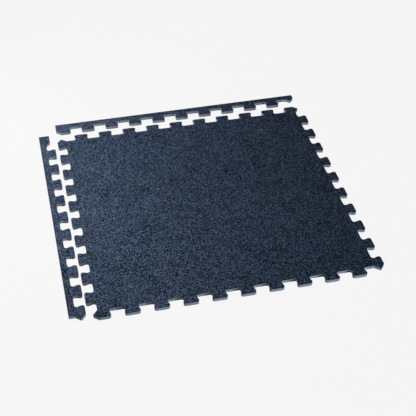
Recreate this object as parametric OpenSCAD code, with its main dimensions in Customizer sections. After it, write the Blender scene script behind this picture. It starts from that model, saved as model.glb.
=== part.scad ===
// Interlocking blocking mat with a carpet face, and two loose border strips.
// The square tile and both strips lie flat. Each one is a foam base with a carpet
// face bonded to it, and all its layers are cut along the same toothed line.
// Origin: middle of the tile, on its underside. +X right, +Y back, +Z up.

/* [Tile] */
// Side of the square that one tile covers once its neighbours are joined to it
side = 609.6; // [520:0.1:700]
// Slots along each side of the tile
slots = 10; // [8:1:12]

/* [Teeth] */
// Depth of a slot, from the line of the tooth heads to the line of the slot floors
tooth_depth = 20.4; // [15:0.1:23]
// Width of a tooth head, as a share of the pitch from tooth to tooth
head_share = 0.617; // [0.56:0.001:0.64]
// Radius on the corners of the teeth and slots, where their edges leave room for it
tooth_round = 5; // [1:0.5:6]
// Length along each side of the slanted cut at a corner of the tile
corner_run = 12; // [8:0.5:14]
// Gap left between two joined edges
joint_gap = 0.3; // [0.15:0.05:0.6]

/* [Layers] */
// Thickness of the foam base
foam_thick = 7.2; // [4:0.1:20]
// Thickness of the adhesive film under the carpet
film_thick = 0.2; // [0.1:0.05:0.5]
// Thickness of the carpet face
carpet_thick = 1.0; // [0.8:0.1:6]

/* [Border strips] */
// Width of a strip outside the heads of the tile's teeth
bar_width = 15; // [8:0.5:60]
// Radius on the outer corners of a strip
bar_round = 1.5; // [0.5:0.5:3]

/* [Where the loose strips lie] */
// Left strip: gap between its tooth heads and the tile's
left_clear = 5.1; // [4:0.1:130]
// Left strip: how far it lies towards the back of the place where it joins
left_along = -4; // [-20:0.5:20]
// Left strip: how far it is turned out of line, anticlockwise
left_turn = 0.5; // [-0.5:0.1:0.5]
// Back strip: gap between its tooth heads and the tile's
back_clear = 17.6; // [4:0.1:130]
// Back strip: how far it lies to the right of the place where it joins
back_along = -9; // [-10:0.5:30]
// Back strip: how far it is turned out of line, anticlockwise
back_turn = 0; // [-0.5:0.1:0.5]

/* [Hidden] */

FOAM_COLOUR = [0.42, 0.48, 0.55];
FILM_COLOUR = [0.80, 0.80, 0.76];
CARPET_COLOUR = [0.14, 0.18, 0.25];

// The sides are numbered anticlockwise, and each one runs anticlockwise too
FRONT = 0;
BACK = 2;
LEFT = 3;

// A tile measures a whole number of pitches and a half from head to head, so that
// the teeth of each side face the slots of the side opposite
pitch = (side + tooth_depth) / (slots + 0.5);
reach = tooth_depth / 2;
head = pitch * head_share;
neck = pitch - head;
corner_round = 2;
tip_round = 0.8;
round_steps = 5;
// The most of an edge that the rounding at one of its ends may take up
edge_share = 0.49;

film_z = foam_thick;
carpet_z = film_z + film_thick;

// Outer edge of a strip and its middle line, measured out from the tile's square
bar_out = reach + bar_width;
bar_middle = side / 2 + reach + bar_width / 2;

// How far each strip lies outside the place where it joins
left_out = tooth_depth + left_clear;
back_out = tooth_depth + back_clear;

// ---- The cut line -----------------------------------------------------------
// Points are [along the side, inwards, radius]. They start at the tile's corner,
// and the same line cuts the tile's edge and the inner edge of a border strip.

function slot_at(k) = pitch * (k + 1) - reach;

function slot_start(k) = [
    [slot_at(k) - neck / 2, -reach, tooth_round],
    [slot_at(k) - head / 2, reach, tooth_round]
];

function slot_end(k) = [
    [slot_at(k) + head / 2, reach, tooth_round],
    [slot_at(k) + neck / 2, -reach, tooth_round]
];

function cut_line() = concat(
    [[0, 0, tip_round], [corner_run, -reach, corner_round]],
    [for (k = [0 : slots - 2]) each concat(slot_start(k), slot_end(k))],
    slot_start(slots - 1),
    [[side - corner_run, reach, corner_round]]
);

// ---- Outlines, before the joint gap is taken off ----------------------------

// A point given along side q, turned into the tile's own plan
function on_side(q, p) =
    let (x = p[0] - side / 2, y = p[1] - side / 2, c = cos(90 * q), s = sin(90 * q))
    [x * c - y * s, x * s + y * c, p[2]];

function tile_cut() = [for (q = [FRONT : LEFT], p = cut_line()) on_side(q, p)];

// The left strip carries the square corner piece at its back end
function left_cut() = strip_on(LEFT, concat(
    [[-bar_out, -bar_out, bar_round], [-bar_out, 0, bar_round]],
    cut_line(),
    [[side, 0, tip_round], [side - reach, -corner_run, corner_round]],
    [[side - reach, -bar_out, bar_round]]
));

// The back strip ends square where it meets the left strip's corner piece
function back_cut() = strip_on(BACK, concat(
    [[-reach, -bar_out, bar_round], [-reach, -corner_run, corner_round]],
    cut_line(),
    [[side, 0, tip_round], [side, -bar_out, bar_round]]
));

// A strip lies outside the line, so its points run the other way round
function strip_on(q, line) = [for (i = [len(line) - 1 : -1 : 0]) on_side(q, line[i])];

// ---- Joint gap and rounded corners ------------------------------------------

function flat(p) = [p[0], p[1]];
function unit(v) = v / norm(v);
function left_of(v) = [-v[1], v[0]];
function before(line, i) = line[(i + len(line) - 1) % len(line)];
function after(line, i) = line[(i + 1) % len(line)];

// Each corner moved inwards, so that every edge steps back by the given distance
function stepped_in(line, step) = [
    for (i = [0 : len(line) - 1])
    let (
        p = flat(line[i]),
        m = left_of(unit(p - flat(before(line, i)))),
        n = left_of(unit(flat(after(line, i)) - p)),
        q = p + (m + n) * step / (1 + m * n)
    )
    [q[0], q[1], line[i][2]]
];

// Points of the arc that rounds corner p between its neighbours a and b
function arc_at(a, p, b, r) =
    let (
        u = unit(a - p),
        v = unit(b - p),
        half = acos(u * v) / 2,
        run = min(r / tan(half), edge_share * norm(a - p), edge_share * norm(b - p)),
        centre = p + unit(u + v) * run / cos(half),
        spoke = p + u * run - centre,
        sweep = (180 - 2 * half) * sign(v[0] * u[1] - v[1] * u[0])
    )
    [for (i = [0 : round_steps]) centre + turned(spoke, sweep * i / round_steps)];

function turned(v, angle) = [
    v[0] * cos(angle) - v[1] * sin(angle),
    v[0] * sin(angle) + v[1] * cos(angle)
];

function rounded(line) = [
    for (i = [0 : len(line) - 1])
    each arc_at(flat(before(line, i)), flat(line[i]), flat(after(line, i)), line[i][2])
];

function finished(line) = rounded(stepped_in(line, joint_gap / 2));

// ---- Layers -----------------------------------------------------------------

module layer(line, z, thick) {
    translate([0, 0, z])
        linear_extrude(height = thick)
            polygon(finished(line));
}

// Moves a strip from the place where it joins to the place where it lies
module left_place() {
    translate([-bar_middle - left_out, left_along, 0])
        rotate([0, 0, left_turn])
            translate([bar_middle, 0, 0])
                children();
}

module back_place() {
    translate([back_along, bar_middle + back_out, 0])
        rotate([0, 0, back_turn])
            translate([0, -bar_middle, 0])
                children();
}

// ---- Tile -------------------------------------------------------------------

module tile_foam() {
    color(FOAM_COLOUR) layer(tile_cut(), 0, foam_thick);
}

module tile_bond_film() {
    color(FILM_COLOUR) layer(tile_cut(), film_z, film_thick);
}

module tile_carpet() {
    color(CARPET_COLOUR) layer(tile_cut(), carpet_z, carpet_thick);
}

// ---- Left border strip ------------------------------------------------------

module left_border_foam() {
    color(FOAM_COLOUR) left_place() layer(left_cut(), 0, foam_thick);
}

module left_border_bond_film() {
    color(FILM_COLOUR) left_place() layer(left_cut(), film_z, film_thick);
}

module left_border_carpet() {
    color(CARPET_COLOUR) left_place() layer(left_cut(), carpet_z, carpet_thick);
}

// ---- Back border strip ------------------------------------------------------

module back_border_foam() {
    color(FOAM_COLOUR) back_place() layer(back_cut(), 0, foam_thick);
}

module back_border_bond_film() {
    color(FILM_COLOUR) back_place() layer(back_cut(), film_z, film_thick);
}

module back_border_carpet() {
    color(CARPET_COLOUR) back_place() layer(back_cut(), carpet_z, carpet_thick);
}

tile_foam();
tile_bond_film();
tile_carpet();
left_border_foam();
left_border_bond_film();
left_border_carpet();
back_border_foam();
back_border_bond_film();
back_border_carpet();
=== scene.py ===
import math

import bpy
import numpy as np
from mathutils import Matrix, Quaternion, Vector, kdtree, noise
from mathutils.geometry import delaunay_2d_cdt


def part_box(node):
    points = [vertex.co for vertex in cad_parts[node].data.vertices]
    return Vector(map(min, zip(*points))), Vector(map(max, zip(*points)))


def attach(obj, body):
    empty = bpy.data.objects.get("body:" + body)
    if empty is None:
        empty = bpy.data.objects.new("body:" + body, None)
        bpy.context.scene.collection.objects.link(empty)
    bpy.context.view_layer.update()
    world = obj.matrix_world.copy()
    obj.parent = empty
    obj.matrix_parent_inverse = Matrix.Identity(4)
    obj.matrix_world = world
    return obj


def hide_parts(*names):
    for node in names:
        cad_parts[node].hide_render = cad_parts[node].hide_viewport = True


# An interlocking blocking mat with a carpet face, and two loose border strips.
# Each of the three mats is a die-cut foam base, an adhesive film and a carpet face.

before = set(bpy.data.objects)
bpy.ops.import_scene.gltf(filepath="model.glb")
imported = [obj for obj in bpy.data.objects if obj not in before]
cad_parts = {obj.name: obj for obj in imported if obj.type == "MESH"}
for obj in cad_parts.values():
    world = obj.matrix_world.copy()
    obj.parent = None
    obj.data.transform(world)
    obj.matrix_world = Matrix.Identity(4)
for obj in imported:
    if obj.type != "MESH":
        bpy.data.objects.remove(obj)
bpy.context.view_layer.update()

MM = 0.001
# The three mats, and the seed of each one's loose fibres
MATS = {"tile": 20, "left_border": 30, "back_border": 40}

# ---- The cut line -------------------------------------------------------------

# Digits that a place is rounded to, and how far apart two heights on one level may be
PLACE_DIGITS = 7
LEVEL = 1e-6
# Rings keep only the points this share of their depth or more inside the sheet
RING_SHARE = 0.93


def cut_outline(node):
    """The toothed line that a CAD layer is cut along, anticlockwise, as plan points."""
    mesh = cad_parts[node].data
    places = np.array([v.co for v in mesh.vertices]).round(PLACE_DIGITS)
    top = places[:, 2].max()
    sides = set()
    for face in mesh.polygons:
        corners = places[list(face.vertices)]
        if corners[:, 2].min() > top - LEVEL:
            plan = [tuple(c) for c in corners[:, :2]]
            sides |= set(zip(plan, plan[1:] + plan[:1]))
    after = {a: b for a, b in sides if (b, a) not in sides}
    line = [min(after)]
    while len(line) < len(after):
        line.append(after[line[-1]])
    return np.array(line)


def eased(outline, step, passes):
    """The outline with a point at about every step, its facets eased into curves."""
    points = []
    for a, b in zip(outline, np.roll(outline, -1, axis=0)):
        parts = max(1, round(float(np.linalg.norm(b - a)) / step))
        points += [a + (b - a) * i / parts for i in range(parts)]
    line = np.array(points)
    for _ in range(passes):
        line = (np.roll(line, 1, axis=0) + 2 * line + np.roll(line, -1, axis=0)) / 4
    return line


def inward(line):
    """Unit plan vectors that point into the sheet at each point of its outline."""
    sides = np.roll(line, -1, axis=0) - line
    normals = np.column_stack([-sides[:, 1], sides[:, 0]]) / np.hypot(*sides.T)[:, None]
    both = normals + np.roll(normals, 1, axis=0)
    return both / np.hypot(*both.T)[:, None]


def depth_inside(points, line):
    """How far plan points lie inside a closed line. Outside it the depth is negative."""
    tree = kdtree.KDTree(len(line))
    for i, (x, y) in enumerate(line):
        tree.insert((x, y, 0), i)
    tree.balance()
    near = np.array([tree.find((x, y, 0))[1] for x, y in points], int)
    depth = np.full(len(points), np.inf)
    for step in (-1, 0):
        a = line[(near + step) % len(line)]
        side = line[(near + step + 1) % len(line)] - a
        share = np.clip(((points - a) * side).sum(1) / (side**2).sum(1), 0, 1)
        off = points - a - share[:, None] * side
        gap = np.hypot(off[:, 0], off[:, 1])
        turn = side[:, 0] * off[:, 1] - side[:, 1] * off[:, 0]
        depth = np.where(gap < np.abs(depth), np.where(turn >= 0, gap, -gap), depth)
    return depth


def scattered(line, spacing, margin, seed, jitter=0.18):
    """Plan points in offset rows over the inside of a line, clear of it by margin.
    The spacing is along and across the rows, and jitter is a share of it."""
    low, high = line.min(axis=0), line.max(axis=0)
    rows = np.arange(low[1], high[1], spacing[1])
    x, y = np.meshgrid(np.arange(low[0], high[0], spacing[0]), rows)
    x[1::2] += spacing[0] / 2
    points = np.column_stack([x.ravel(), y.ravel()])
    shifts = np.random.default_rng(seed).uniform(-jitter, jitter, points.shape)
    points += shifts * spacing
    return points[depth_inside(points, line) > margin]


def rings(line, depths):
    """The outline moved inwards to each depth, without points that crowd another side."""
    kept = []
    for depth in depths:
        points = line + inward(line) * depth
        kept.append(points[depth_inside(points, line) > RING_SHARE * depth])
    return np.vstack(kept)


# ---- Meshes -------------------------------------------------------------------

INSIDE_ONLY = 1
MERGE_DISTANCE = 1e-7
SHARP_ANGLE = math.radians(50)
NO_POINTS = (np.empty((0, 2)), np.empty(0))


def cap(line, inner):
    """Triangles that fill a closed line through its own points and the inner ones."""
    points = [Vector(p) for p in np.vstack([line, inner])]
    count = len(line)
    edges = [(i, (i + 1) % count) for i in range(count)]
    made = delaunay_2d_cdt(points, edges, [], INSIDE_ONLY, MERGE_DISTANCE)
    faces, first_points = made[2], made[3]
    return [[first_points[i][0] for i in face] for face in faces]


def piece(name, mesh, body, slot, *stands_for):
    """Puts a finished mesh in the scene, on its body. The slot that it is given is not used."""
    made = bpy.data.objects.new(name, mesh)
    bpy.context.scene.collection.objects.link(made)
    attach(made, body)
    if stands_for:
        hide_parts(*stands_for)
    return made


def slab_mesh(name, line, rows, top, bottom, materials):
    """A closed sheet. Its wall passes through rows of (inset, height), from the bottom
    up, and top and bottom are (plan points, heights) inside the wall's last and first row.
    The wall and top wear the first material and the underside wears the last."""
    count = len(line)
    walls = [line + inward(line) * inset for inset, _ in rows]
    plans = walls + [top[0], bottom[0]]
    heights = [np.full(count, height) for _, height in rows] + [top[1], bottom[1]]
    places = np.column_stack([np.vstack(plans), np.concatenate(heights)])
    here = np.arange(count)
    there = (here + 1) % count
    faces = []
    for row in range(len(rows) - 1):
        low, high = row * count, (row + 1) * count
        band = [low + here, low + there, high + there, high + here]
        faces += np.column_stack(band).tolist()
    rim = (len(rows) - 1) * count
    first_top = len(rows) * count
    first_bottom = first_top + len(top[0])
    ids = np.concatenate([rim + here, first_top + np.arange(len(top[0]))])
    faces += [[int(ids[i]) for i in face] for face in cap(walls[-1], top[0])]
    upper = len(faces)
    ids = np.concatenate([here, first_bottom + np.arange(len(bottom[0]))])
    faces += [[int(ids[i]) for i in face[::-1]] for face in cap(walls[0], bottom[0])]
    mesh = bpy.data.meshes.new(name)
    mesh.from_pydata(places.tolist(), [], faces)
    for material in materials:
        mesh.materials.append(material)
    under = np.arange(len(faces)) >= upper
    mesh.polygons.foreach_set("material_index", under * (len(materials) - 1))
    mesh.polygons.foreach_set("use_smooth", np.ones(len(faces), bool))
    mesh.set_sharp_from_angle(angle=SHARP_ANGLE)
    inside = np.zeros(len(places))
    inside[first_top:first_bottom] = depth_inside(top[0], line)
    depth = mesh.attributes.new("edge_depth", "FLOAT", "POINT")
    depth.data.foreach_set("value", inside.clip(0).astype(np.float32))
    return mesh


def ripple(points, wave, layer):
    """Smooth random heights from about -1 to 1, with lumps a wave across."""
    return np.array([noise.noise((x / wave, y / wave, layer)) for x, y in points])


def run_tree(tree, name, points, attributes, sizes):
    """Runs a geometry tree on points and returns what it makes as a plain mesh."""
    seeds = bpy.data.meshes.new(name)
    seeds.from_pydata(points.tolist(), [], [])
    for label, values in attributes.items():
        held = seeds.attributes.new(label, "FLOAT_VECTOR", "POINT")
        held.data.foreach_set("vector", values.astype(np.float32).ravel())
    maker = bpy.data.objects.new(name, seeds)
    bpy.context.scene.collection.objects.link(maker)
    modifier = maker.modifiers.new("made", "NODES")
    modifier.node_group = tree
    for item in tree.interface.items_tree:
        if item.name in sizes:
            modifier[item.identifier] = sizes[item.name]
    graph = bpy.context.evaluated_depsgraph_get()
    mesh = bpy.data.meshes.new_from_object(maker.evaluated_get(graph))
    bpy.data.objects.remove(maker)
    bpy.data.meshes.remove(seeds)
    mesh.name = name
    return mesh


# ---- Nodes --------------------------------------------------------------------


def srgb(red, green, blue):
    """A colour given as 0 to 255 screen values, as the shader's linear colour."""
    bent = [((c / 255 + 0.055) / 1.055) ** 2.4 if c > 10 else c / 3295 for c in (red, green, blue)]
    return bent + [1]


def node(tree, kind, inputs=None, **settings):
    """Adds a node, and fills or links its inputs by their name or number."""
    made = tree.nodes.new(kind)
    for key, value in settings.items():
        setattr(made, key, value)
    for key, value in (inputs or {}).items():
        if isinstance(value, bpy.types.NodeSocket):
            tree.links.new(value, made.inputs[key])
        else:
            made.inputs[key].default_value = value
    return made


def maths(tree, operation, *values):
    return node(tree, "ShaderNodeMath", dict(enumerate(values)), operation=operation).outputs[0]


def vectors(tree, operation, *values):
    """Vector maths, with the values in the order of the sockets that the operation shows."""
    made = node(tree, "ShaderNodeVectorMath", operation=operation)
    shown = [socket for socket in made.inputs if socket.enabled]
    for socket, value in zip(shown, values):
        if isinstance(value, bpy.types.NodeSocket):
            tree.links.new(value, socket)
        else:
            socket.default_value = value
    return made.outputs[0]


def mixed(tree, factor, a, b):
    """Colour a at factor 0 and colour b at factor 1."""
    made = node(tree, "ShaderNodeMix", {0: factor, 6: a, 7: b}, data_type="RGBA")
    return made.outputs[2]


def ranged(tree, value, start, end, low, high):
    """The value's run from start to end, turned into a run from low to high."""
    inputs = {0: value, 1: start, 2: end, 3: low, 4: high}
    return node(tree, "ShaderNodeMapRange", inputs).outputs[0]


def ramp(tree, factor, stops):
    """A colour ramp through (position, colour) stops."""
    made = node(tree, "ShaderNodeValToRGB", {0: factor})
    for element, (position, colour) in zip(made.color_ramp.elements, (stops[0], stops[-1])):
        element.position, element.color = position, colour
    for position, colour in stops[1:-1]:
        made.color_ramp.elements.new(position).color = colour
    return made.outputs["Color"]


def bumped(tree, height, distance):
    return node(tree, "ShaderNodeBump", {"Height": height, "Distance": distance}).outputs["Normal"]


def attribute(tree, name):
    return node(tree, "ShaderNodeAttribute", attribute_name=name).outputs["Fac"]


def noise_at(tree, place, size, detail=2.0):
    """Noise whose lumps are size metres across."""
    scale = maths(tree, "DIVIDE", 1.0, size)
    return node(tree, "ShaderNodeTexNoise", {"Vector": place, "Scale": scale, "Detail": detail})


def new_group(name, kind, inputs, outputs):
    """An empty node group with named sockets, its input sockets and its output node."""
    tree = bpy.data.node_groups.new(name, kind)
    for label, socket, value in inputs:
        kind = "NodeSocket" + socket
        made = tree.interface.new_socket(label, in_out="INPUT", socket_type=kind)
        if value is not None:
            made.default_value = value
    for label, socket in outputs:
        tree.interface.new_socket(label, in_out="OUTPUT", socket_type="NodeSocket" + socket)
    return tree, tree.nodes.new("NodeGroupInput").outputs, tree.nodes.new("NodeGroupOutput")


def new_material(name):
    """An empty material's tree, its Principled shader and its object coordinates."""
    material = bpy.data.materials.new(name)
    material.use_nodes = True
    tree = material.node_tree
    tree.nodes.clear()
    shader = node(tree, "ShaderNodeBsdfPrincipled")
    node(tree, "ShaderNodeOutputMaterial", {"Surface": shader.outputs[0]})
    place = node(tree, "ShaderNodeTexCoord").outputs["Object"]
    return material, tree, shader, place


def dress(tree, shader, **finish):
    """Fills or links the shader's sockets, which are named with _ for each space."""
    for label, value in finish.items():
        socket = shader.inputs[label.replace("_", " ")]
        if isinstance(value, bpy.types.NodeSocket):
            tree.links.new(value, socket)
        else:
            socket.default_value = value


# ---- Effects that the materials share -----------------------------------------------

# Ways that the carpet's fibres lie, as angles, and how narrow a fibre is to its length
LAY_ANGLES = (0.3, 1.3, 2.4)
FIBRE_NARROW = 0.12
# How far the fibres pull a tuft out of shape, in tufts
FIBRE_PULL = 2.4
TUFT_BLUR = 0.15
# Noise level at which a fibre starts to show, and at which it shows fully
FIBRE_SHOWS = (0.5, 0.78)
# What each part adds to the tone, and the mean that is taken off their sum
TUFT_TONE = 1.75
PATCH_TONE = 0.3
PILE_SHADE_TONE = 0.3
FIBRE_TONE = 0.34
MEAN_TONE = 0.908
FIBRE_RISE = 0.5

# What the cells and the patches each add to the tone of the foam
CELL_TONE = 0.35
BLOOM_TONE = 0.65


def pile_group():
    """Short felted pile: a tone for each soft tuft and its fibres, and the pile's height."""
    tree, given, out = new_group(
        "felted_pile",
        "ShaderNodeTree",
        [("Place", "Vector", None), ("Tuft Size", "Float", 0.002),
         ("Fibre Size", "Float", 0.0003), ("Patch Size", "Float", 0.003),
         ("Pile Shade Size", "Float", 0.05)],
        [("Tone", "Float"), ("Height", "Float")],
    )
    place, tuft, fibre, patch, shade_size = (given[i] for i in range(5))
    wander = noise_at(tree, place, tuft).outputs["Color"]
    drift = vectors(tree, "SUBTRACT", wander, (0.5, 0.5, 0.5))
    moved = vectors(tree, "ADD", place, vectors(tree, "SCALE", drift, tuft))
    lying = None
    combed = moved
    reach = maths(tree, "MULTIPLY", tuft, FIBRE_PULL)
    for angle in LAY_ANGLES:
        inputs = {"Vector": moved, "Angle": angle}
        turned = node(tree, "ShaderNodeVectorRotate", inputs, rotation_type="Z_AXIS").outputs[0]
        drawn_out = vectors(tree, "MULTIPLY", turned, (1.0, FIBRE_NARROW, 1.0))
        strands = noise_at(tree, drawn_out, fibre, detail=1.0).outputs["Fac"]
        lying = strands if lying is None else maths(tree, "MAXIMUM", lying, strands)
        pull = maths(tree, "MULTIPLY", maths(tree, "SUBTRACT", strands, 0.5), reach)
        way = (math.sin(angle), math.cos(angle), 0.0)
        combed = vectors(tree, "ADD", combed, vectors(tree, "SCALE", way, pull))
    per_metre = maths(tree, "DIVIDE", 1.0, tuft)
    inputs = {"Vector": combed, "Scale": per_metre, "Smoothness": TUFT_BLUR}
    tufts = node(tree, "ShaderNodeTexVoronoi", inputs, feature="SMOOTH_F1")
    dyed = node(tree, "ShaderNodeSeparateColor", {0: tufts.outputs["Color"]}).outputs[0]
    patches = noise_at(tree, place, patch).outputs["Fac"]
    # Painted light and shade: broad lighter and darker patches, for pile that lies different ways
    # and catches the light differently
    pile_shade = noise_at(tree, place, shade_size).outputs["Fac"]
    shown = ranged(tree, lying, *FIBRE_SHOWS, 0.0, 1.0)
    tone = maths(tree, "MULTIPLY", patches, PATCH_TONE)
    tone = maths(tree, "MULTIPLY_ADD", dyed, TUFT_TONE, tone)
    tone = maths(tree, "MULTIPLY_ADD", pile_shade, PILE_SHADE_TONE, tone)
    tone = maths(tree, "SUBTRACT", tone, MEAN_TONE)
    tone = maths(tree, "MULTIPLY_ADD", shown, FIBRE_TONE, tone)
    domes = maths(tree, "SUBTRACT", 1.0, tufts.outputs["Distance"])
    height = maths(tree, "MULTIPLY_ADD", shown, FIBRE_RISE, domes)
    tree.links.new(tone, out.inputs["Tone"])
    tree.links.new(height, out.inputs["Height"])
    return tree


def cells_group():
    """Closed foam cells: a faint tone from cell to cell, and their height."""
    tree, given, out = new_group(
        "foam_cells",
        "ShaderNodeTree",
        [("Place", "Vector", None), ("Cell Size", "Float", 0.0006),
         ("Patch Size", "Float", 0.02)],
        [("Tone", "Float"), ("Height", "Float")],
    )
    place, cell, patch = (given[i] for i in range(3))
    per_metre = maths(tree, "DIVIDE", 1.0, cell)
    cells = node(tree, "ShaderNodeTexVoronoi", {"Vector": place, "Scale": per_metre})
    cell_tone = node(tree, "ShaderNodeSeparateColor", {0: cells.outputs["Color"]}).outputs[0]
    bloom = noise_at(tree, place, patch, detail=4.0).outputs["Fac"]
    bloom = maths(tree, "MULTIPLY", bloom, BLOOM_TONE)
    tone = maths(tree, "MULTIPLY_ADD", cell_tone, CELL_TONE, bloom)
    hollow = cells.outputs["Distance"]
    tree.links.new(tone, out.inputs["Tone"])
    tree.links.new(maths(tree, "MULTIPLY", hollow, hollow), out.inputs["Height"])
    return tree


# ---- Materials ------------------------------------------------------------------

# Depths from the cut edge between which the painted shade along that edge fades, and its strength
# there
EDGE_SHADE_FROM = 0.2 * MM
EDGE_SHADE_TO = 2.6 * MM
EDGE_SHADE_SHARE = 0.45
PILE_HEIGHT = 0.5 * MM
BLOOM_SIZE = 18 * MM
# How far the foam's roughness strays from its mean
ROUGHNESS_SPREAD = 0.06
STREAK_SIZE = 4 * MM


def carpet_material(pile):
    material, tree, shader, place = new_material("navy_heather_carpet")
    felt = node(tree, "ShaderNodeGroup", node_tree=pile)
    sizes = {"Tuft Size": 1.15 * MM, "Fibre Size": 0.26 * MM, "Patch Size": 2.0 * MM,
             "Pile Shade Size": 55 * MM}
    dress(tree, felt, Place=place)
    for label, size in sizes.items():
        felt.inputs[label].default_value = size
    heather = ramp(tree, felt.outputs["Tone"], [
        (0.26, srgb(0, 4, 16)), (0.49, srgb(8, 21, 42)),
        (0.67, srgb(27, 44, 71)), (0.85, srgb(89, 107, 135)),
    ])
    depth = attribute(tree, "edge_depth")
    # Painted shade: near the cut edge the carpet's colour is mixed towards a dark navy
    edge_shade = ranged(tree, depth, EDGE_SHADE_FROM, EDGE_SHADE_TO, EDGE_SHADE_SHARE, 0.0)
    dress(tree, shader,
          Base_Color=mixed(tree, edge_shade, heather, srgb(14, 21, 34)),
          Normal=bumped(tree, felt.outputs["Height"], PILE_HEIGHT),
          Roughness=0.92, Specular_IOR_Level=0.04,
          Sheen_Weight=0.02, Sheen_Roughness=0.5, Sheen_Tint=srgb(150, 172, 205))
    return material


def fibre_material():
    material, tree, shader, _ = new_material("loose_carpet_fibre")
    dyed = ramp(tree, attribute(tree, "fibre_tone"), [
        (0.0, srgb(20, 28, 44)), (0.5, srgb(40, 52, 72)),
        (0.85, srgb(66, 79, 100)), (1.0, srgb(112, 124, 142)),
    ])
    dress(tree, shader, Base_Color=dyed, Roughness=0.8, Specular_IOR_Level=0.1)
    return material


def foam_material(name, cells, pale, deep, cell, pit, roughness):
    """Foam from a deep to a pale tone, with cells of a size and pits of a depth."""
    material, tree, shader, place = new_material(name)
    foam = node(tree, "ShaderNodeGroup", node_tree=cells)
    dress(tree, foam, Place=place, Cell_Size=cell, Patch_Size=BLOOM_SIZE)
    tone = foam.outputs["Tone"]
    least, most = roughness - ROUGHNESS_SPREAD, roughness + ROUGHNESS_SPREAD
    dress(tree, shader,
          Base_Color=ramp(tree, tone, [(0.25, deep), (0.75, pale)]),
          Normal=bumped(tree, foam.outputs["Height"], pit),
          Roughness=ranged(tree, tone, 0.0, 1.0, least, most),
          Specular_IOR_Level=0.25)
    return material


def film_material():
    material, tree, shader, place = new_material("adhesive_film")
    streaks = noise_at(tree, place, STREAK_SIZE, detail=3.0).outputs["Fac"]
    dress(tree, shader,
          Base_Color=ramp(tree, streaks, [(0.3, srgb(92, 104, 118)), (0.7, srgb(112, 123, 136))]),
          Roughness=ranged(tree, streaks, 0.0, 1.0, 0.42, 0.58))
    return material


# ---- Geometry trees -------------------------------------------------------------

# Sizes of a loose fibre, as shares of the given one
FIBRE_SHORTEST = 0.45
FIBRE_LONGEST = 1.15
TONE_SEED = 7
# Radii of the stud before it is stretched to its length, width and height
STUD_FOOT = 0.4
STUD_TOP = 0.5


def finish_tree(tree, instances, material, out):
    """Ends a tree: the instances become real mesh and wear the material."""
    whole = node(tree, "GeometryNodeRealizeInstances", {0: instances}).outputs[0]
    inputs = {"Geometry": whole, "Material": material}
    dressed = node(tree, "GeometryNodeSetMaterial", inputs)
    tree.links.new(dressed.outputs[0], out.inputs[0])
    return tree


def fibre_tree(material):
    """Thin tapered fibres that lean along the attribute lean, each a little differently."""
    tree, given, out = new_group(
        "loose_fibres",
        "GeometryNodeTree",
        [("Roots", "Geometry", None), ("Fibre Length", "Float", 0.0012),
         ("Fibre Width", "Float", 0.0001), ("Disorder", "Float", 0.8), ("Seed", "Int", 1)],
        [("Fibres", "Geometry")],
    )
    fibre = node(tree, "GeometryNodeMeshCone",
                 {"Vertices": 3, "Radius Top": 0.0, "Radius Bottom": given["Fibre Width"],
                  "Depth": given["Fibre Length"]}, fill_type="NONE")
    lean = node(tree, "GeometryNodeInputNamedAttribute", {"Name": "lean"},
                data_type="FLOAT_VECTOR")
    stray = node(tree, "FunctionNodeRandomValue",
                 {0: (-1, -1, -1), 1: (1, 1, 1), "Seed": given["Seed"]},
                 data_type="FLOAT_VECTOR")
    aside = vectors(tree, "SCALE", stray.outputs[0], given["Disorder"])
    way = vectors(tree, "ADD", lean.outputs[0], aside)
    turn = node(tree, "FunctionNodeAlignRotationToVector", {"Vector": way}, axis="Z")
    size = node(tree, "FunctionNodeRandomValue",
                {2: FIBRE_SHORTEST, 3: FIBRE_LONGEST, "Seed": given["Seed"]})
    placed = node(tree, "GeometryNodeInstanceOnPoints",
                  {"Points": given["Roots"], "Instance": fibre.outputs["Mesh"],
                   "Rotation": turn.outputs[0], "Scale": size.outputs[1]})
    tone = node(tree, "FunctionNodeRandomValue", {2: 0.0, 3: 1.0, "Seed": TONE_SEED})
    toned = node(tree, "GeometryNodeStoreNamedAttribute",
                 {"Geometry": placed.outputs[0], "Name": "fibre_tone",
                  "Value": tone.outputs[1]},
                 data_type="FLOAT", domain="INSTANCE")
    return finish_tree(tree, toned.outputs[0], material, out)


def stud_tree(material):
    """Low four-sided studs on the underside, which reach up into the foam."""
    tree, given, out = new_group(
        "tread_studs",
        "GeometryNodeTree",
        [("Places", "Geometry", None), ("Stud Length", "Float", 0.009),
         ("Stud Width", "Float", 0.0045), ("Stud Height", "Float", 0.0006)],
        [("Studs", "Geometry")],
    )
    stud = node(tree, "GeometryNodeMeshCone",
                {"Vertices": 4, "Side Segments": 1, "Radius Top": STUD_TOP,
                 "Radius Bottom": STUD_FOOT, "Depth": 1.0},
                fill_type="NGON")
    size = node(tree, "ShaderNodeCombineXYZ",
                {0: given["Stud Length"], 1: given["Stud Width"], 2: given["Stud Height"]})
    placed = node(tree, "GeometryNodeInstanceOnPoints",
                  {"Points": given["Places"], "Instance": stud.outputs["Mesh"],
                   "Scale": size.outputs[0]})
    return finish_tree(tree, placed.outputs[0], material, out)


# ---- The three mats -------------------------------------------------------------

CUT_STEP = 1.1 * MM
EASE_PASSES = 2

# The carpet's face rolls down by this drop over this width, to its cut edge
SHOULDER = 2.4 * MM
SHOULDER_DROP = 0.42 * MM
# Its cut edge is ragged, and its foot is tucked in a little
RAGGED_WAVE = 2.3 * MM
RAGGED_DEPTH = 0.08 * MM
RAGGED_LAYER = 5.5
EDGE_TUCK = 0.05 * MM
EDGE_FOOT = 0.2 * MM
# Points of the face: rings along the cut edge, then rows this far apart
FACE_RINGS = [0.35 * MM, 0.9 * MM, 1.7 * MM]
FACE_MARGIN = 2.6 * MM
GRAIN = 2.5 * MM
GRAIN_ROWS = 0.87
FACE_SEED = 3
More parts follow.
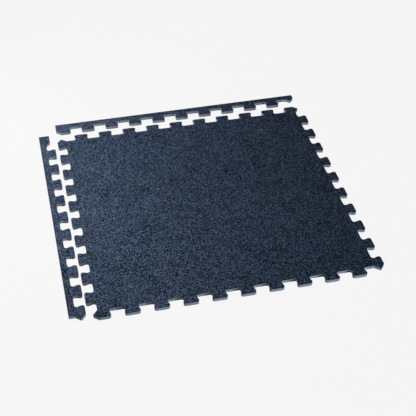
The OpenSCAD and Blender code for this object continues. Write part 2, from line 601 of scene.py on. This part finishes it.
# Lumps of the face: height in mm, how wide they are, and the layer of noise they use
FACE_LUMPS = ((0.12, 4.6 * MM, 1.5), (0.09, 2.9 * MM, 8.5))
FACE_WAVES = (0.12, 70 * MM, 3.5)

# The fringe: fibres for each point of the cut edge, how far back in mm their roots lie,
# how deep they are rooted, and how far they lean out and up
FRINGE_DENSITY = 2.4
FRINGE_BACK = 1.6
FRINGE_ROOT = 0.02 * MM
FRINGE_OUT = 0.8
FRINGE_UP = 0.25
FRINGE_SIZES = {"Fibre Length": 1.1 * MM, "Fibre Width": 0.07 * MM, "Disorder": 0.75}

# The strays: fibres that lie on the face, with their middles just above it
STRAY_SPACING = np.array([5.2, 4.6]) * MM
STRAY_MARGIN = 2.5 * MM
STRAY_JITTER = 0.5
STRAY_RISE = 0.2
STRAY_LEAN = 2.6
STRAY_LIFT = 0.05 * MM
STRAY_SIZES = {"Fibre Length": 3.4 * MM, "Fibre Width": 0.13 * MM, "Disorder": 0.3}
STRAY_SEED = 5

# The foam's wall below its top edge, as (inset, height) in mm
FOAM_WALL = [
    (0.50, 0.0), (0.18, 0.10), (0.04, 0.34), (0.0, 0.75), (0.08, 2.0),
    (0.16, 3.4), (0.16, 4.4), (0.08, 5.8), (0.0, 6.8),
]
# The underside is recessed inside a flat rim, past a short slope
RIM = 6 * MM
SLOPE = 1.2 * MM
RECESS = 0.4 * MM
FIRST_RING = 1.6 * MM
UNDER_SPACING = np.array([6.0, 5.2]) * MM
UNDER_MARGIN = RIM + 2 * MM
UNDER_SEED = 4
STUD_SPACING = np.array([15.0, 5.6]) * MM
STUD_MARGIN = RIM + 4 * MM
STUD_SEED = 6
STUD_SIZES = {"Stud Length": 10 * MM, "Stud Width": 4.2 * MM, "Stud Height": RECESS + 0.15 * MM}


def lumpy(points, height, wave, layer):
    return height * ripple(points, wave, layer)


def carpet_face(mat, outline):
    """The carpet, a felted top that rolls down to its cut edge, and the edge's line."""
    low, high = (corner.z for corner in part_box(mat + "_carpet"))
    line = eased(outline, CUT_STEP, EASE_PASSES)
    ragged = (ripple(line, RAGGED_WAVE, RAGGED_LAYER) + 1) * RAGGED_DEPTH
    line = line + inward(line) * ragged[:, None]
    spacing = np.array([GRAIN, GRAIN * GRAIN_ROWS])
    inner = np.vstack([rings(line, FACE_RINGS), scattered(line, spacing, FACE_MARGIN, FACE_SEED)])
    depth = depth_inside(inner, line)
    rolled = (1 - depth / SHOULDER).clip(0) ** 2 * SHOULDER_DROP
    lumps = sum(lumpy(inner, *lump) for lump in FACE_LUMPS)
    waves = lumpy(inner, *FACE_WAVES)
    rise = high - rolled + (lumps + waves) * MM * (depth / SHOULDER).clip(0, 1)
    rows = [(EDGE_TUCK, low), (0.0, low + EDGE_FOOT), (0.0, high - SHOULDER_DROP)]
    mesh = slab_mesh(mat + "_carpet_face", line, rows, (inner, rise), NO_POINTS, [CARPET])
    made = piece(mesh.name, mesh, mat, "carpet", mat + "_carpet")
    return made, line


def carpet_fringe(mat, line, top, rng, seed):
    """A fringe of loose fibres along the cut edge."""
    count = int(len(line) * FRINGE_DENSITY)
    spot = rng.uniform(0, len(line), count)
    near = spot.astype(int)
    share = (spot - near)[:, None]
    roots = line[near] * (1 - share) + np.roll(line, -1, axis=0)[near] * share
    out = -inward(line)[near]
    back = rng.uniform(0.0, FRINGE_BACK, count)
    roots -= out * back[:, None] * MM
    drop = (1 - back * MM / SHOULDER).clip(0) ** 2 * SHOULDER_DROP
    places = np.column_stack([roots, top - drop - FRINGE_ROOT])
    lean = np.column_stack([out * FRINGE_OUT, np.full(count, FRINGE_UP)])
    sizes = FRINGE_SIZES | {"Seed": seed}
    mesh = run_tree(FIBRES, mat + "_fringe", places, {"lean": lean}, sizes)
    return piece(mat + "_carpet_fringe", mesh, mat, "carpet")


def carpet_strays(mat, line, top, rng, seed):
    """Stray fibres that lie on the face."""
    spots = scattered(line, STRAY_SPACING, STRAY_MARGIN, seed + 1, STRAY_JITTER)
    angle = rng.uniform(0, math.tau, len(spots))
    rise = rng.uniform(0.0, STRAY_RISE, len(spots))
    lean = np.column_stack([np.cos(angle), np.sin(angle), rise]) * STRAY_LEAN
    places = np.column_stack([spots, np.full(len(spots), top + STRAY_LIFT)])
    sizes = STRAY_SIZES | {"Seed": seed + STRAY_SEED}
    mesh = run_tree(FIBRES, mat + "_strays", places, {"lean": lean}, sizes)
    return piece(mat + "_carpet_strays", mesh, mat, "carpet")


def foam_base(mat, outline):
    """The die-cut foam: walls drawn in a little by the cut, and a recessed underside."""
    low, high = (corner.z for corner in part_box(mat + "_foam"))
    line = eased(outline, CUT_STEP, EASE_PASSES)
    rows = [(inset * MM, low + height * MM) for inset, height in FOAM_WALL] + [(0.0, high)]
    inner = np.vstack([
        rings(line, [FIRST_RING, RIM - SLOPE, RIM]),
        scattered(line, UNDER_SPACING, UNDER_MARGIN, UNDER_SEED),
    ])
    depth = depth_inside(inner, line)
    sunk = low + ((depth - RIM + SLOPE) / SLOPE).clip(0, 1) * RECESS
    materials = [FOAM_CUT, FOAM_SKIN]
    mesh = slab_mesh(mat + "_foam_base", line, rows, NO_POINTS, (inner, sunk), materials)
    made = piece(mesh.name, mesh, mat, "foam", mat + "_foam")
    foam_tread(mat, line, low)


def foam_tread(mat, line, low):
    """Rows of low studs in the recess, where the mat is wide enough for them."""
    spots = scattered(line, STUD_SPACING, STUD_MARGIN, STUD_SEED, jitter=0)
    if len(spots):
        places = np.column_stack([spots, np.full(len(spots), low)])
        mesh = run_tree(STUDS, mat + "_foam_tread", places, {}, STUD_SIZES)
        piece(mat + "_foam_tread", mesh, mat, "foam")


CARPET = carpet_material(pile_group())
CELLS = cells_group()
FOAM_CUT = foam_material("cut_foam", CELLS, srgb(143, 155, 171), srgb(127, 140, 156),
                         cell=0.55 * MM, pit=0.12 * MM, roughness=0.82)
FOAM_SKIN = foam_material("foam_skin", CELLS, srgb(138, 150, 166), srgb(124, 137, 153),
                          cell=1.1 * MM, pit=0.10 * MM, roughness=0.62)
FILM = film_material()
FIBRES = fibre_tree(fibre_material())
STUDS = stud_tree(FOAM_SKIN)

for mat, seed in MATS.items():
    outline = cut_outline(mat + "_carpet")
    face, edge = carpet_face(mat, outline)
    foam_base(mat, outline)
    low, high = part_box(mat + "_carpet")
    rng = np.random.default_rng(seed)
    loose = (carpet_fringe(mat, edge, high.z, rng, seed),
             carpet_strays(mat, edge, high.z, rng, seed))
    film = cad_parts[mat + "_bond_film"]
    film.data.materials.clear()
    film.data.materials.append(FILM)

# ---- Floor, light and camera ------------------------------------------------------

PALE = srgb(246, 246, 246)
FLOOR_GREY = srgb(108, 108, 108)
FLOOR_HALF = 8.0
FLOOR_TOP = -0.1 * MM
# How much of the floor's look is the plain pale colour, and how bright that is
FLOOR_PALE = 0.9
FLOOR_BRIGHTNESS = 1.093
AMBIENT = 0.03

# Tints of the lamps in front and of the lamps on the left
COOL = (0.95, 0.985, 1.0)
WARM = (1.0, 0.95, 0.87)

# The camera: the point it looks at, its distance, its angles and its focal length
AIM = Vector((-6.19, -23.63, 0)) * MM
DISTANCE = 2.15745
AZIMUTH, ELEVATION, ROLL = (math.radians(angle) for angle in (-12.52, 40.16, -0.22))
FOCAL_PIXELS = 948.92
FRAME_PIXELS = 416
SENSOR = 36


def pale_shader(tree, shader, strength, brightness=1.0):
    """Shows the pale colour to the camera and to reflections, and the shader elsewhere."""
    path = node(tree, "ShaderNodeLightPath").outputs
    reflected = maths(tree, "MAXIMUM", path["Is Glossy Ray"], path["Is Transmission Ray"])
    seen = maths(tree, "MAXIMUM", path["Is Camera Ray"], reflected)
    glow = node(tree, "ShaderNodeEmission", {"Color": PALE, "Strength": brightness})
    share = maths(tree, "MULTIPLY", seen, strength)
    inputs = {0: share, 1: shader, 2: glow.outputs[0]}
    return node(tree, "ShaderNodeMixShader", inputs).outputs[0]


def studio_floor():
    """A pale floor that shows from above and is clear from below."""
    half = FLOOR_HALF
    corners = [(-half, -half), (half, -half), (half, half), (-half, half)]
    mesh = bpy.data.meshes.new("floor")
    mesh.from_pydata([(x, y, FLOOR_TOP) for x, y in corners], [], [(0, 1, 2, 3)])
    floor = bpy.data.objects.new("floor", mesh)
    bpy.context.scene.collection.objects.link(floor)
    material = bpy.data.materials.new("studio_floor")
    material.use_nodes = True
    tree = material.node_tree
    tree.nodes.clear()
    matt = node(tree, "ShaderNodeBsdfDiffuse", {"Color": FLOOR_GREY})
    seen = pale_shader(tree, matt.outputs[0], FLOOR_PALE, FLOOR_BRIGHTNESS)
    clear = node(tree, "ShaderNodeBsdfTransparent")
    behind = node(tree, "ShaderNodeNewGeometry").outputs["Backfacing"]
    sides = node(tree, "ShaderNodeMixShader", {0: behind, 1: seen, 2: clear.outputs[0]})
    node(tree, "ShaderNodeOutputMaterial", {"Surface": sides.outputs[0]})
    mesh.materials.append(material)


def studio_world():
    world = bpy.data.worlds.new("studio")
    bpy.context.scene.world = world
    world.use_nodes = True
    tree = world.node_tree
    tree.nodes.clear()
    ambient = node(tree, "ShaderNodeBackground", {"Color": (1, 1, 1, 1), "Strength": AMBIENT})
    surface = pale_shader(tree, ambient.outputs[0], 1.0)
    node(tree, "ShaderNodeOutputWorld", {"Surface": surface})


def lamp(name, place, aim, size, power, tint, spread=180):
    """A soft rectangular light at a place, turned to face the point aim. Its spread is
    the angle that its light opens to."""
    light = bpy.data.lights.new(name, "AREA")
    light.shape = "RECTANGLE"
    light.size, light.size_y = size
    light.energy, light.color = power, tint
    light.spread = math.radians(spread)
    made = bpy.data.objects.new(name, light)
    made.location = place
    made.rotation_mode = "QUATERNION"
    made.rotation_quaternion = (Vector(aim) - Vector(place)).to_track_quat("-Z", "Y")
    made.visible_camera = False
    bpy.context.scene.collection.objects.link(made)


def studio_camera():
    """Looks at AIM from the front, a little to the left and from above."""
    data = bpy.data.cameras.new("camera")
    data.sensor_width = SENSOR
    data.lens = FOCAL_PIXELS / FRAME_PIXELS * SENSOR
    camera = bpy.data.objects.new("camera", data)
    level = math.cos(ELEVATION)
    away = Vector((math.sin(AZIMUTH) * level, -math.cos(AZIMUTH) * level, math.sin(ELEVATION)))
    facing = (-away).to_track_quat("-Z", "Y")
    camera.location = AIM + away * DISTANCE
    camera.rotation_mode = "QUATERNION"
    camera.rotation_quaternion = facing @ Quaternion((0, 0, 1), ROLL)
    bpy.context.scene.collection.objects.link(camera)
    bpy.context.scene.camera = camera


studio_floor()
studio_world()
lamp("front_right", (1.342, -2.148, 0.45), (-0.1, 0, 0), (0.35, 0.35), 12.7, COOL, spread=100)
lamp("left_strip", (-0.6, 0.3, 0.4), (-0.1, 0, 0), (0.8, 0.25), 4.2, WARM)
lamp("left_back_corner", (-0.62, 0.5, 0.5), (-0.15, -0.1, 0), (0.4, 0.3), 4.6, WARM)
lamp("high_left", (-0.5, 0, 0.9), (-0.35, -0.1, 0), (0.3, 0.3), 3.6, WARM)
lamp("gridded_back", (-0.4, 0.75, 0.9), (-0.26, -0.36, 0), (0.3, 0.3), 0.6, WARM, spread=35)
studio_camera()
bpy.context.scene.view_settings.view_transform = "Standard"
